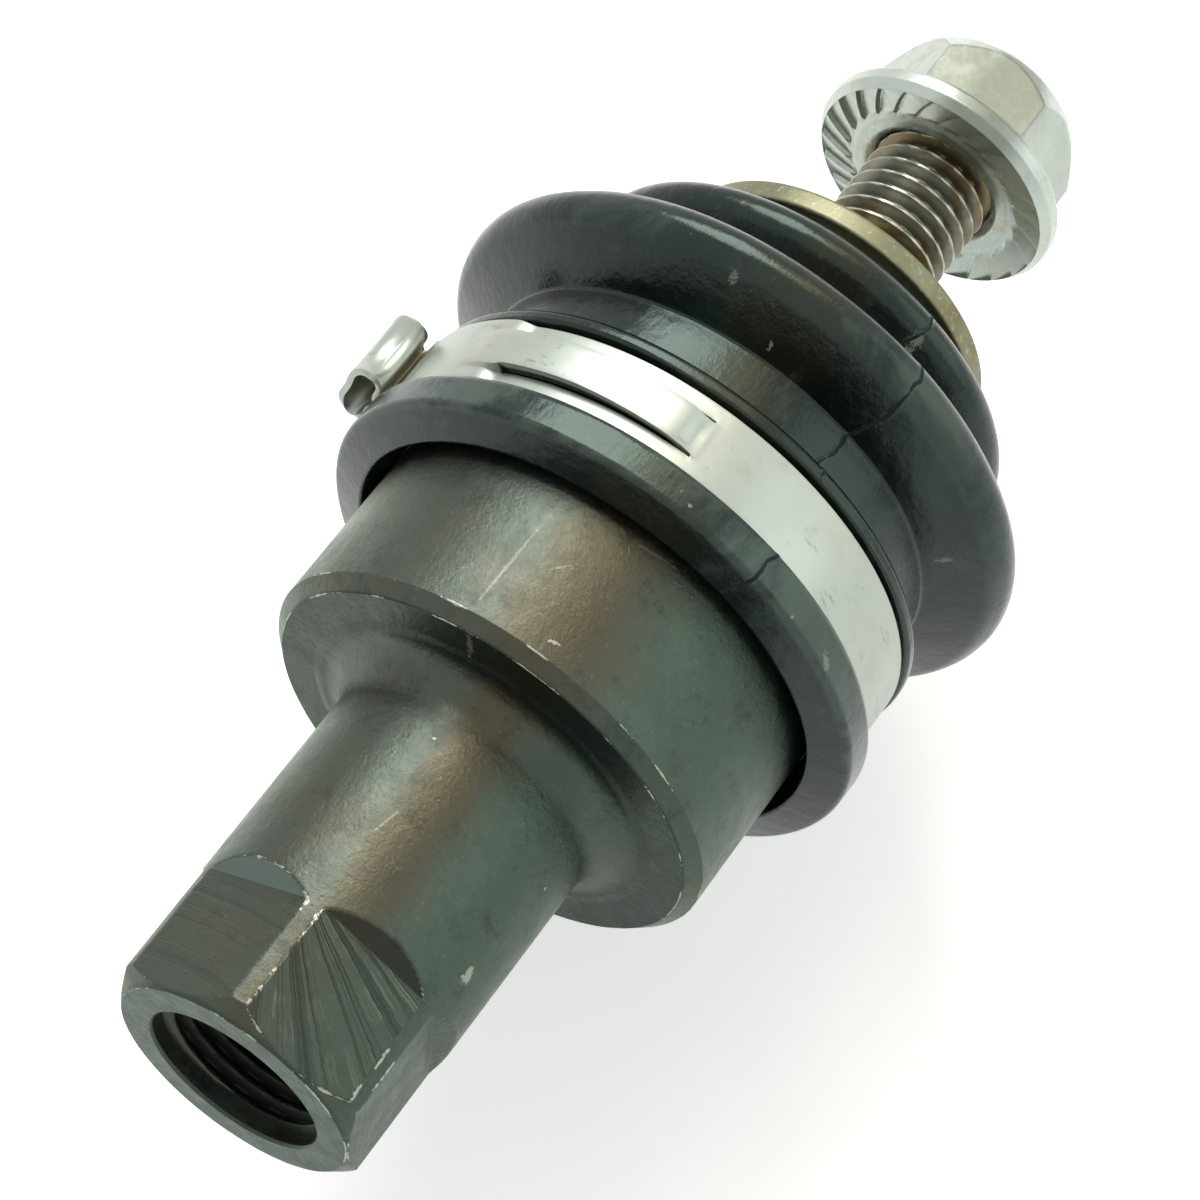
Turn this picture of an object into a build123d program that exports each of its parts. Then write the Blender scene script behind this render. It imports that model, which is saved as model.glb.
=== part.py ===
from build123d import *
import os
from math import asin, atan2, cos, degrees, pi, radians, sin, sqrt, tan

os.makedirs("parts", exist_ok=True)

# Ball joint end of a rear toe link. The link axis is X, the stud points to +X and the ball centre is the origin.
# All sizes are in millimetres and degrees.

# Driving sizes of the housing
shank_diameter = 25.0
shank_length = 35.0
socket_diameter = 42.8
shoulder_to_ball = 13.6
ball_to_rim = 16.6
shoulder_chamfer = 1.2
shoulder_fillet = 3.5
link_thread_diameter = 16.0
link_thread_depth = 24.0
link_mouth_chamfer = 0.25
drill_point_angle = 118.0
wrench_size = 22.0
wrench_flat_length = 11.6
wrench_ramp_length = 1.8
wrench_turn = 3.5
end_chamfer_length = 1.3
rim_chamfer = 0.8
rolled_lip_width = 1.7
rolled_lip_thickness = 1.6

# Driving sizes of the ball, its seat and the ring that closes the socket
ball_diameter = 27.0
ball_clearance = 0.1
seat_wall = 2.4
seat_clearance = 0.05
seat_grip = 6.0
seat_height = 8.5
seat_mouth_flare = 0.3
closing_ring_thickness = 3.0
closing_ring_step = 1.5
closing_ring_mouth = 28.0

# Driving sizes of the stud
neck_diameter = 13.0
neck_taper_start = 25.0
neck_taper_length = 5.0
collar_diameter = 17.0
collar_groove_depth = 0.7
stud_seat = 40.8
stud_thread_diameter = 12.0
stud_thread_length = 30.2
stud_tip_chamfer = 1.2
stud_socket_size = 6.0
stud_socket_depth = 6.0

# Driving sizes of the washer and the nut
washer_diameter = 31.2
washer_thickness = 2.2
washer_edge_chamfer = 0.3
nut_stand_off = 17.0
nut_height = 12.2
nut_hex_size = 18.0
nut_hex_top = 8.0
nut_hex_turn = 11.2
nut_collar_wall = 0.4
nut_dome_round = 1.2
flange_diameter = 24.5
flange_face_diameter = 23.2
flange_rim_thickness = 2.3
flange_rim_bevel = 0.9
flange_cone_height = 4.0
nut_countersink_diameter = 13.8
nut_face_ring_diameter = 16.4
serration_count = 25
serration_depth = 0.45
serration_skew = 36.0
thread_clearance = 0.05
insert_wall = 1.45
insert_height = 2.8
insert_cover = 0.9

# Driving sizes of the rubber boot
boot_groove_depth = 0.9
boot_groove_start = 5.5
boot_groove_width = 9.2
boot_clearance = 0.1
boot_collar_wall = 3.45
boot_wall = 1.5
boot_lip_diameter = 52.6
boot_lip_reach = 4.0
boot_lip_gap = 1.3
boot_lip_round = 0.9
boot_rib_diameter = 49.8
boot_rib_width = 1.2
boot_rib_round = 0.3
boot_neck_diameter = 44.6
boot_neck_length = 4.1
boot_neck_bend = 0.4
boot_fold_diameter = 57.0
boot_fold_pitch = 4.9
boot_fold_bend = 2.3
boot_valley_diameter = 39.0
boot_valley_pitch = 5.4
boot_valley_bend = 0.8
boot_top_fold_diameter = 43.4
boot_top_fold_pitch = 3.6
boot_top_fold_bend = 2.0
boot_small_end_diameter = 22.0
boot_small_end_height = 2.0

# Driving sizes of the clamp and the small ring that hold the boot
band_thickness = 0.6
band_width = 7.0
band_inset = 1.3
ear_angle = 20.0
ear_width = 8.2
ear_height = 3.5
ear_pinch_height = 1.2
ear_slit = 0.2
bridge_start_angle = 57.0
bridge_sweep = 46.0
bridge_rail = 1.7
bridge_gap = 0.75
bridge_end_sweep = 3.0
small_ring_wire = 1.2
small_ring_clearance = 0.05

# Places and radii worked out from the driving sizes
shank_radius = shank_diameter / 2
socket_radius = socket_diameter / 2
ball_radius = ball_diameter / 2
seat_radius = ball_radius + ball_clearance + seat_wall
pocket_radius = seat_radius + seat_clearance
shoulder_x = -shoulder_to_ball
end_x = shoulder_x - shank_length
rim_x = ball_to_rim
end_face_radius = wrench_size / 2
link_thread_radius = link_thread_diameter / 2
ring_x = seat_height + seat_clearance
ring_radius = seat_radius + closing_ring_step
ring_pocket_radius = ring_radius + seat_clearance
ring_pocket_end = ring_x + closing_ring_thickness + seat_clearance
lip_radius = ring_pocket_radius - rolled_lip_width
groove_radius = socket_radius - boot_groove_depth
groove_end = boot_groove_start + boot_groove_width
washer_x = stud_seat
thread_radius = stud_thread_diameter / 2
tip_x = stud_seat + stud_thread_length
nut_x = washer_x + washer_thickness + nut_stand_off
nut_bore_radius = thread_radius + thread_clearance
insert_radius = nut_bore_radius + insert_wall
insert_x = nut_x + nut_height - insert_cover - insert_height
band_x = boot_groove_start + band_inset
band_inner_radius = groove_radius + boot_clearance + boot_collar_wall
band_outer_radius = band_inner_radius + band_thickness


def wrap(bends, inset):
    """Straight lines and arcs of a skin that winds round (along the axis, radius, bend) circles."""
    lines, arcs = [], []
    reach = [bend - inset for *_, bend in bends]
    centre = [Vector(x, r) for x, r, _ in bends]
    for i, (here, there) in enumerate(zip(centre, centre[1:])):
        across = there - here
        heading = atan2(across.Y, across.X) + asin((reach[i + 1] - reach[i]) / across.length)
        side = Vector(sin(heading), -cos(heading))
        lines.append((here - side * reach[i], there - side * reach[i + 1]))
    for i, ((_, enter), (leave, _)) in enumerate(zip(lines, lines[1:]), start=1):
        middle = ((enter - centre[i]).normalized() + (leave - centre[i]).normalized()).normalized()
        arcs.append((enter, centre[i] + middle * abs(reach[i]), leave))
    return lines, arcs


# Housing: a turned forging with a threaded shank behind and an open ball socket in front
with BuildPart() as housing:
    with BuildSketch(Plane.XY):
        with BuildLine():
            shank = Polyline(
                (end_x, 0),
                (end_x, end_face_radius),
                (end_x + end_chamfer_length, shank_radius),
                (shoulder_x - shoulder_fillet, shank_radius),
            )
            hollow = CenterArc(
                (shoulder_x - shoulder_fillet, shank_radius + shoulder_fillet), shoulder_fillet, 270, 90
            )
            outside = Polyline(
                hollow @ 1,
                (shoulder_x, socket_radius - shoulder_chamfer),
                (shoulder_x + shoulder_chamfer, socket_radius),
                (boot_groove_start, socket_radius),
                (boot_groove_start, groove_radius),
                (groove_end, groove_radius),
                (groove_end, socket_radius - boot_clearance),
                (rim_x - rim_chamfer, socket_radius - boot_clearance),
                (rim_x, socket_radius - boot_clearance - rim_chamfer),
                (rim_x, ring_pocket_radius),
                (ring_pocket_end + rolled_lip_thickness + rolled_lip_width, ring_pocket_radius),
                (ring_pocket_end + rolled_lip_thickness, lip_radius),
                (ring_pocket_end, lip_radius),
                (ring_pocket_end, ring_pocket_radius),
                (ring_x, ring_pocket_radius),
                (ring_x, pocket_radius),
                (0, pocket_radius),
            )
            CenterArc((0, 0), pocket_radius, 90, 90)
            Line((-pocket_radius, 0), shank @ 0)
        make_face()
    revolve(axis=Axis.X)

    # Blind tapped bore for the link rod, drawn at the thread's outer diameter, with a drilled point
    bore_end_x = end_x + link_thread_depth
    point_length = link_thread_radius / tan(radians(drill_point_angle / 2))
    with BuildSketch(Plane.XY):
        with BuildLine():
            Polyline(
                (end_x, 0),
                (end_x, link_thread_radius + link_mouth_chamfer),
                (end_x + link_mouth_chamfer, link_thread_radius),
                (bore_end_x, link_thread_radius),
                (bore_end_x + point_length, 0),
                close=True,
            )
        make_face()
    revolve(axis=Axis.X, mode=Mode.SUBTRACT)

    # Six milled wrench flats, each running out of the shank in a short ramp
    flat_end_x = end_x + wrench_flat_length
    for flat in range(6):
        with BuildSketch(Plane.XY.rotated((wrench_turn + 60 * flat, 0, 0))):
            with BuildLine():
                Polyline(
                    (end_x, wrench_size / 2),
                    (flat_end_x, wrench_size / 2),
                    (flat_end_x + wrench_ramp_length, shank_radius),
                    (flat_end_x + wrench_ramp_length, shank_diameter),
                    (end_x, shank_diameter),
                    close=True,
                )
            make_face()
        extrude(amount=shank_radius, both=True, mode=Mode.SUBTRACT)
housing.part.label = "housing"
export_step(housing.part, "parts/housing.step")

# Lower half of the polymer ball seat, a cup that fills the round bottom of the socket
inner_seat_radius = ball_radius + ball_clearance
with BuildPart() as lower_seat:
    with BuildSketch(Plane.XY):
        with BuildLine():
            CenterArc((0, 0), seat_radius, 90, 90)
            CenterArc((0, 0), inner_seat_radius, 90, 90)
            Line((-seat_radius, 0), (-inner_seat_radius, 0))
            Line((0, inner_seat_radius), (0, seat_radius))
        make_face()
    revolve(axis=Axis.X)
lower_seat.part.label = "lower_seat"
export_step(lower_seat.part, "parts/lower_seat.step")

# Upper half of the seat, a ring that grips the ball past its middle and flares to let the neck swing
grip_angle = degrees(asin(seat_grip / inner_seat_radius))
grip_radius = sqrt(inner_seat_radius**2 - seat_grip**2)
with BuildPart() as upper_seat:
    with BuildSketch(Plane.XY):
        with BuildLine():
            ThreePointArc(
                (0, inner_seat_radius),
                (inner_seat_radius * sin(radians(grip_angle / 2)), inner_seat_radius * cos(radians(grip_angle / 2))),
                (seat_grip, grip_radius),
            )
            Polyline(
                (seat_grip, grip_radius),
                (seat_height, grip_radius + seat_mouth_flare),
                (seat_height, seat_radius),
                (0, seat_radius),
                (0, inner_seat_radius),
            )
        make_face()
    revolve(axis=Axis.X)
upper_seat.part.label = "upper_seat"
export_step(upper_seat.part, "parts/upper_seat.step")

# Closing ring: steel ring behind the rolled lip, with a coned mouth
closing_end_x = ring_x + closing_ring_thickness
closing_mouth_radius = closing_ring_mouth / 2
with BuildPart() as closing_ring:
    with BuildSketch(Plane.XY):
        with BuildLine():
            Polyline(
                (ring_x, grip_radius + seat_mouth_flare),
                (ring_x, ring_radius),
                (closing_end_x, ring_radius),
                (closing_end_x, closing_mouth_radius),
                close=True,
            )
        make_face()
    revolve(axis=Axis.X)
closing_ring.part.label = "closing_ring"
export_step(closing_ring.part, "parts/closing_ring.step")

# Ball stud: ball, neck, collar with a groove for the boot, thread drawn at its outer diameter
neck_radius = neck_diameter / 2
neck_start_x = sqrt(ball_radius**2 - neck_radius**2)
collar_radius = collar_diameter / 2
collar_groove_radius = collar_radius - collar_groove_depth
small_end_x = stud_seat - collar_groove_depth - boot_small_end_height - small_ring_wire
with BuildPart() as ball_stud:
    with BuildSketch(Plane.XY):
        with BuildLine():
            ThreePointArc(
                (-ball_radius, 0),
                (-ball_radius * cos(radians(60)), ball_radius * sin(radians(60))),
                (neck_start_x, neck_radius),
            )
            Polyline(
                (neck_start_x, neck_radius),
                (neck_taper_start, neck_radius),
                (neck_taper_start + neck_taper_length, collar_radius),
                (small_end_x, collar_radius),
                (small_end_x, collar_groove_radius),
                (stud_seat - collar_groove_depth, collar_groove_radius),
                (stud_seat - collar_groove_depth, collar_radius),
                (stud_seat, collar_radius),
                (stud_seat, thread_radius),
                (tip_x - stud_tip_chamfer, thread_radius),
                (tip_x, thread_radius - stud_tip_chamfer),
                (tip_x, 0),
                (-ball_radius, 0),
            )
        make_face()
    revolve(axis=Axis.X)

    # Hexagon socket in the tip, which holds the stud while its nut is turned
    with BuildSketch(Plane.YZ.offset(tip_x)):
        RegularPolygon(radius=stud_socket_size / 2, side_count=6, major_radius=False)
    extrude(amount=-stud_socket_depth, mode=Mode.SUBTRACT)
ball_stud.part.label = "ball_stud"
export_step(ball_stud.part, "parts/ball_stud.step")

# Thick plated washer against the stud's collar, the face that the knuckle is pulled on to
with BuildPart() as seat_washer:
    with BuildSketch(Plane.YZ.offset(washer_x)):
        Circle(washer_diameter / 2)
        Circle(thread_radius + thread_clearance, mode=Mode.SUBTRACT)
    extrude(amount=washer_thickness)
    chamfer(seat_washer.edges().filter_by(GeomType.CIRCLE).group_by(SortBy.RADIUS)[-1], washer_edge_chamfer)
seat_washer.part.label = "seat_washer"
export_step(seat_washer.part, "parts/seat_washer.step")

# Flange nut: a hexagon under a domed locking collar, on a flange with ratchet serrations
hex_corner_radius = nut_hex_size / sqrt(3)
flange_radius = flange_diameter / 2
flange_face_radius = flange_face_diameter / 2
dome_radius = insert_radius + nut_collar_wall
nut_top_x = nut_x + nut_height
with BuildPart() as flange_nut:
    with BuildSketch(Plane.YZ.offset(nut_x)):
        RegularPolygon(radius=nut_hex_size / 2, side_count=6, major_radius=False, rotation=nut_hex_turn)
    extrude(amount=nut_height)

    # Turned envelope that rounds the hexagon into the locking collar
    with BuildSketch(Plane.XY):
        with BuildLine():
            Polyline(
                (nut_x, 0),
                (nut_x, hex_corner_radius),
                (nut_x + nut_hex_top, hex_corner_radius),
                (nut_top_x - nut_dome_round, dome_radius + nut_dome_round / 2),
            )
            ThreePointArc(
                (nut_top_x - nut_dome_round, dome_radius + nut_dome_round / 2),
                (nut_top_x - nut_dome_round / 4, dome_radius),
                (nut_top_x, dome_radius - nut_dome_round),
            )
            Polyline((nut_top_x, dome_radius - nut_dome_round), (nut_top_x, 0), (nut_x, 0))
        make_face()
    revolve(axis=Axis.X, mode=Mode.INTERSECT)

    # Flange with a bevelled rim, coned up to the hexagon
    with BuildSketch(Plane.XY):
        with BuildLine():
            Polyline(
                (nut_x, 0),
                (nut_x, flange_face_radius),
                (nut_x + flange_rim_bevel, flange_radius),
                (nut_x + flange_rim_thickness, flange_radius),
                (nut_x + flange_cone_height, nut_hex_size / 2),
                (nut_x + flange_cone_height, 0),
                close=True,
            )
        make_face()
    revolve(axis=Axis.X)

    # Threaded bore with a wide countersink, and the pocket that the locking insert fills
    with BuildSketch(Plane.XY):
        with BuildLine():
            Polyline(
                (nut_x, 0),
                (nut_x, nut_countersink_diameter / 2),
                (nut_x + nut_countersink_diameter / 2 - nut_bore_radius, nut_bore_radius),
                (insert_x, nut_bore_radius),
                (insert_x, insert_radius),
                (insert_x + insert_height, insert_radius),
                (insert_x + insert_height, nut_bore_radius),
                (nut_top_x, nut_bore_radius),
                (nut_top_x, 0),
                close=True,
            )
        make_face()
    revolve(axis=Axis.X, mode=Mode.SUBTRACT)

    # Ratchet serrations: skewed wedges cut into the flange face, steep on one side
    serration_length = flange_radius - nut_face_ring_diameter / 2
    serration_pitch = flange_face_diameter * pi / serration_count
    for tooth in range(serration_count):
        around = Plane.YZ.offset(nut_x).rotated((tooth * 360 / serration_count, 0, 0))
        inner_point = around.from_local_coords(Vector(nut_face_ring_diameter / 2, 0, 0))
        outwards = around.x_dir.rotate(Axis.X, serration_skew)
        with BuildSketch(Plane(origin=inner_point, x_dir=outwards.cross(Vector(1, 0, 0)), z_dir=outwards)):
            with BuildLine():
                Polyline((0, 0), (serration_pitch / 2, 0), (0, serration_depth), close=True)
            make_face()
        extrude(amount=serration_length * 1.5, mode=Mode.SUBTRACT)
flange_nut.part.label = "flange_nut"
export_step(flange_nut.part, "parts/flange_nut.step")

# Polymer locking insert inside the nut's collar
with BuildPart() as nut_insert:
    with BuildSketch(Plane.YZ.offset(insert_x)):
        Circle(insert_radius)
        Circle(nut_bore_radius, mode=Mode.SUBTRACT)
    extrude(amount=insert_height)
nut_insert.part.label = "nut_insert"
export_step(nut_insert.part, "parts/nut_insert.step")

# Dust boot: thick lip and collar on the housing, a neck, two folds, and a small end on the stud's collar
boot_inner_radius = groove_radius + boot_clearance
boot_lip_radius = boot_lip_diameter / 2
boot_rib_radius = boot_rib_diameter / 2
boot_neck_radius = boot_neck_diameter / 2
band_end_x = band_x + band_width
band_seat_radius = band_inner_radius - boot_clearance
lip_x = band_x - boot_lip_reach
band_gap = boot_clearance * 3
neck_x = rim_x + boot_clearance
crease_x = neck_x + boot_neck_length
fold_x = crease_x + boot_fold_pitch
valley_x = fold_x + boot_valley_pitch
top_fold_x = valley_x + boot_top_fold_pitch
small_end_radius = boot_small_end_diameter / 2
small_end_face_x = stud_seat - 2 * boot_clearance
bends = [
    (neck_x, boot_neck_radius, 0),
    (crease_x, boot_neck_radius + boot_neck_bend, -boot_neck_bend),
    (fold_x, boot_fold_diameter / 2 - boot_fold_bend, boot_fold_bend),
    (valley_x, boot_valley_diameter / 2 + boot_valley_bend, -boot_valley_bend),
    (top_fold_x, boot_top_fold_diameter / 2 - boot_top_fold_bend, boot_top_fold_bend),
    (small_end_face_x - boot_small_end_height, small_end_radius, 0),
]
outer_lines, outer_arcs = wrap(bends, 0)
inner_lines, inner_arcs = wrap(bends, boot_wall)
with BuildPart() as dust_boot:
    with BuildSketch(Plane.XY):
        with BuildLine():
            for line in outer_lines + inner_lines:
                Line(*line)
            for arc in outer_arcs + inner_arcs:
                ThreePointArc(*arc)
            Polyline(
                outer_lines[-1][1],
                (small_end_face_x, small_end_radius),
                (small_end_face_x, collar_radius + boot_clearance),
                (stud_seat - collar_groove_depth - boot_clearance, collar_radius + boot_clearance),
                (stud_seat - collar_groove_depth - boot_clearance, collar_groove_radius + boot_clearance),
                (small_end_x + boot_clearance, collar_groove_radius + boot_clearance),
                inner_lines[-1][1],
            )
            collar = Polyline(
                inner_lines[0][0],
                (rim_x - rim_chamfer, socket_radius),
                (groove_end - boot_clearance, socket_radius),
                (groove_end - boot_clearance, boot_inner_radius),
                (boot_groove_start + boot_clearance, boot_inner_radius),
                (boot_groove_start + boot_clearance, socket_radius + boot_clearance),
                (lip_x + boot_lip_reach / 2, socket_radius + boot_clearance),
                (lip_x - boot_lip_gap, socket_radius + boot_lip_gap),
            )
            FilletPolyline(
                collar @ 1,
                (lip_x, boot_lip_radius),
                (band_x - 2 * band_gap, boot_lip_radius),
                (band_x - band_gap, band_seat_radius),
                (band_end_x + band_gap, band_seat_radius),
                (band_end_x + 2 * band_gap, boot_rib_radius),
                (band_end_x + 2 * band_gap + boot_rib_width, boot_rib_radius),
                outer_lines[0][0],
                radius=[boot_lip_round, boot_lip_round, band_gap, band_gap, boot_rib_round, boot_rib_round],
            )
        make_face()
    revolve(axis=Axis.X)
dust_boot.part.label = "dust_boot"
export_step(dust_boot.part, "parts/dust_boot.step")

# Boot clamp: stainless band with a pinched ear and a raised bridge over the end that it laps
ear_foot_radius = band_outer_radius - band_thickness / 2
ear_centre_radius = band_outer_radius + ear_pinch_height + ear_height / 2
ear_neck_width = 2 * band_thickness + ear_slit
with BuildPart() as boot_clamp:
    with BuildSketch(Plane.YZ.offset(band_x).rotated((ear_angle, 0, 0))):
        Circle(band_outer_radius)
        with Locations((ear_centre_radius, 0)):
            SlotOverall(ear_width, ear_height, rotation=90)
        with Locations(((ear_foot_radius + ear_centre_radius) / 2, 0)):
            Rectangle(ear_centre_radius - ear_foot_radius, ear_neck_width)
        Circle(band_inner_radius, mode=Mode.SUBTRACT)
        with Locations((ear_centre_radius, 0)):
            SlotOverall(
                ear_width - 2 * band_thickness, ear_height - 2 * band_thickness, rotation=90, mode=Mode.SUBTRACT
            )
        with Locations(((band_inner_radius + ear_centre_radius) / 2, 0)):
            Rectangle(ear_centre_radius - band_inner_radius + band_thickness, ear_slit, mode=Mode.SUBTRACT)
    extrude(amount=band_width)

    # Raised bridge, and the tunnel under it that the lapped end slides in
    bridge_inner_radius = band_outer_radius + bridge_gap
    bridge_outer_radius = bridge_inner_radius + band_thickness
    with BuildSketch(Plane.XY.rotated((bridge_start_angle, 0, 0))):
        with Locations((band_x + band_width / 2, (ear_foot_radius + bridge_outer_radius) / 2)):
            Rectangle(band_width - 2 * bridge_rail, bridge_outer_radius - ear_foot_radius)
    revolve(axis=Axis.X, revolution_arc=bridge_sweep)
    with BuildSketch(Plane.XY.rotated((bridge_start_angle + bridge_end_sweep, 0, 0))):
        with Locations((band_x + band_width / 2, (band_outer_radius + bridge_inner_radius) / 2)):
            Rectangle(band_width, bridge_gap)
    revolve(axis=Axis.X, revolution_arc=bridge_sweep - 2 * bridge_end_sweep, mode=Mode.SUBTRACT)
boot_clamp.part.label = "boot_clamp"
export_step(boot_clamp.part, "parts/boot_clamp.step")

# Wire ring that squeezes the boot's small end on to the stud's collar
small_ring_x = small_end_face_x - boot_small_end_height / 2
small_ring_radius = small_end_radius + small_ring_wire / 2 + small_ring_clearance
with BuildPart() as boot_small_ring:
    with BuildSketch(Plane.XY):
        with Locations((small_ring_x, small_ring_radius)):
            Circle(small_ring_wire / 2)
    revolve(axis=Axis.X)
boot_small_ring.part.label = "boot_small_ring"
export_step(boot_small_ring.part, "parts/boot_small_ring.step")
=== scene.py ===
from math import atan2, cos, pi, radians, sin, sqrt, tan

import bmesh
import bpy
import numpy as np
from mathutils import Matrix, Vector


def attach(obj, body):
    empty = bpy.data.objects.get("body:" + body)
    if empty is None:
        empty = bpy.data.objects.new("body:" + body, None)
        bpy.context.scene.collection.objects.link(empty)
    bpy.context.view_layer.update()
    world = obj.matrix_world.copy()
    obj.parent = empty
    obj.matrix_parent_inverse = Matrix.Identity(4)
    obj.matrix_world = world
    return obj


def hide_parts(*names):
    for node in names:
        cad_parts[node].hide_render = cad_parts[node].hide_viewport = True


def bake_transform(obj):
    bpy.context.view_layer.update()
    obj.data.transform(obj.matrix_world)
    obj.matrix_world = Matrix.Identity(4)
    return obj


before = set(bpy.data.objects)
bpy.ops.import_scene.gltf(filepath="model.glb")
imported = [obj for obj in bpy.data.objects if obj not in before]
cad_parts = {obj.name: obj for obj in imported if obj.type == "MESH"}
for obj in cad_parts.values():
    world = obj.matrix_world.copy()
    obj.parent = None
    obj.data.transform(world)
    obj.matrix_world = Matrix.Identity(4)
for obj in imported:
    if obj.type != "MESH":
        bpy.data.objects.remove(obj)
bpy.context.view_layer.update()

# Places and radii along the link axis (X) in millimetres, and turns in degrees. The flats follow the
# photograph, the threads are cut here only, and the rest follows the CAD source.
MM = 0.001
END_X = -48.6
END_RADIUS = 11.0
SHANK_RADIUS = 12.5
SHOULDER_X = -13.6
SOCKET_RADIUS = 21.4
GROOVE_START, GROOVE_END, GROOVE_RADIUS = 5.5, 14.7, 20.5
RIM_X = 16.6
RING_RADIUS, RING_START, RING_END, LIP_RADIUS = 17.55, 8.55, 11.6, 15.85
POCKET_RADIUS = 16.05
BORE_RADIUS, BORE_END, BORE_PITCH, BORE_MINOR, BORE_RELIEF = 8.0, -24.6, 1.5, 7.19, 1.6
FLAT_DISTANCE, FLAT_END, FLAT_RAMP, FLAT_TURN = 11.15, 11.6, 2.6, 3.5
BAND_START, BAND_WIDTH, BAND_RADIUS, BAND_THICK = 6.8, 7.0, 24.05, 0.6
LIP_X, BOOT_CREST_X = 2.8, 25.7
WASHER_X, WASHER_END, WASHER_RADIUS = 40.8, 43.0, 15.6
THREAD_RADIUS, THREAD_MINOR, THREAD_PITCH, TIP_X = 6.0, 4.93, 1.75, 71.0
BALL_RADIUS, NECK_RADIUS, COLLAR_RADIUS = 13.5, 6.5, 8.5
KEY_RADIUS, KEY_DEPTH = 3.0, 6.0
NUT_X, NUT_TOP, HEX_DISTANCE, HEX_TOP, HEX_TURN = 60.0, 72.2, 9.0, 68.0, 11.2
FLANGE_RADIUS, FLANGE_FACE, FLANGE_RING, FLANGE_THICK = 12.25, 11.6, 8.2, 2.3
TEETH, TOOTH_DEPTH, TOOTH_SKEW, TOOTH_RISE = 25, 0.45, 4.3, 0.12
INSERT_START, INSERT_END, INSERT_RADIUS = 68.5, 71.3, 7.5

# The camera's view of the photograph: angles round the ball centre, distance and lens
VIEW_AZIMUTH, VIEW_ELEVATION = radians(33.232), radians(57.153)
VIEW_DISTANCE, VIEW_RIGHT, VIEW_DOWN = 350.0, -2.661, 4.207
LENS, SENSOR = 123.38, 36.0

# Width of a worn edge, distance of the extra points beside a rounded corner, and least angle of a sharp edge
WEAR_WIDTH, CORNER_ROW, SHARP_ANGLE = 0.24, 0.08, radians(38)

# How close a point counts as lying on a named radius or place, and how far in and out a small mark reaches
NEAR, SPOT_REACH = 0.01, 2


# Outlines and turned meshes

def angle_from(a, start):
    """Angle from start to a, between minus half a turn and half a turn."""
    return (a - start + pi) % (2 * pi) - pi


def turned_by(arm, angle):
    """The arm, a flat (x, r) vector, turned by the angle."""
    return np.array((arm[0] * cos(angle) - arm[1] * sin(angle), arm[0] * sin(angle) + arm[1] * cos(angle)))


def rounded(corners, step=0.5):
    """Points along a line through (x, r, round) corners, with arcs at the rounds, at most a step apart."""
    points = []
    for i, (x, r, radius) in enumerate(corners):
        here = np.array((x, r), float)
        if radius == 0 or i in (0, len(corners) - 1):
            points.append(here)
            continue
        before = np.array(corners[i - 1][:2]) - here
        after = np.array(corners[i + 1][:2]) - here
        before, after = before / np.linalg.norm(before), after / np.linalg.norm(after)
        half = np.arccos(np.clip(before @ after, -1, 1)) / 2
        reach = radius / tan(half)
        bisector = before + after
        centre = here + bisector / np.linalg.norm(bisector) * radius / sin(half)
        start, end = here + before * reach - centre, here + after * reach - centre
        turn = atan2(start[0] * end[1] - start[1] * end[0], start @ end)
        pieces = max(3, int(abs(turn) * radius / step) + 1, int(abs(turn) / radians(15)))
        points.append(here + before * (reach + CORNER_ROW))
        for k in range(pieces + 1):
            points.append(centre + turned_by(start, turn * k / pieces))
        points.append(here + after * (reach + CORNER_ROW))
    dense = [points[0]]
    for a, b in zip(points, points[1:]):
        count = max(1, int(np.ceil(np.linalg.norm(b - a) / step - 1e-6)))
        dense += [a + (b - a) * k / count for k in range(1, count + 1)]
    keep = [dense[0]] + [b for a, b in zip(dense, dense[1:]) if np.linalg.norm(b - a) > 1e-5]
    return np.array(keep)


def put_mark(mesh, key, values):
    """Gives the mesh a value at each point, for its material to read."""
    mark = mesh.attributes.new(key, "FLOAT", "POINT")
    mark.data.foreach_set("value", np.asarray(values, np.float32).reshape(-1))


def mesh_object(name, verts, faces, marks=None):
    """A smooth object with its faces turned outwards and its sharp edges marked."""
    mesh = bpy.data.meshes.new(name)
    mesh.from_pydata([tuple(v) for v in verts], [], faces)
    for key, values in (marks or {}).items():
        put_mark(mesh, key, values)
    made = bmesh.new()
    made.from_mesh(mesh)
    bmesh.ops.recalc_face_normals(made, faces=made.faces)
    made.to_mesh(mesh)
    made.free()
    mesh.shade_smooth()
    mesh.set_sharp_from_angle(angle=SHARP_ANGLE)
    obj = bpy.data.objects.new(name, mesh)
    bpy.context.scene.collection.objects.link(obj)
    return obj


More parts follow.
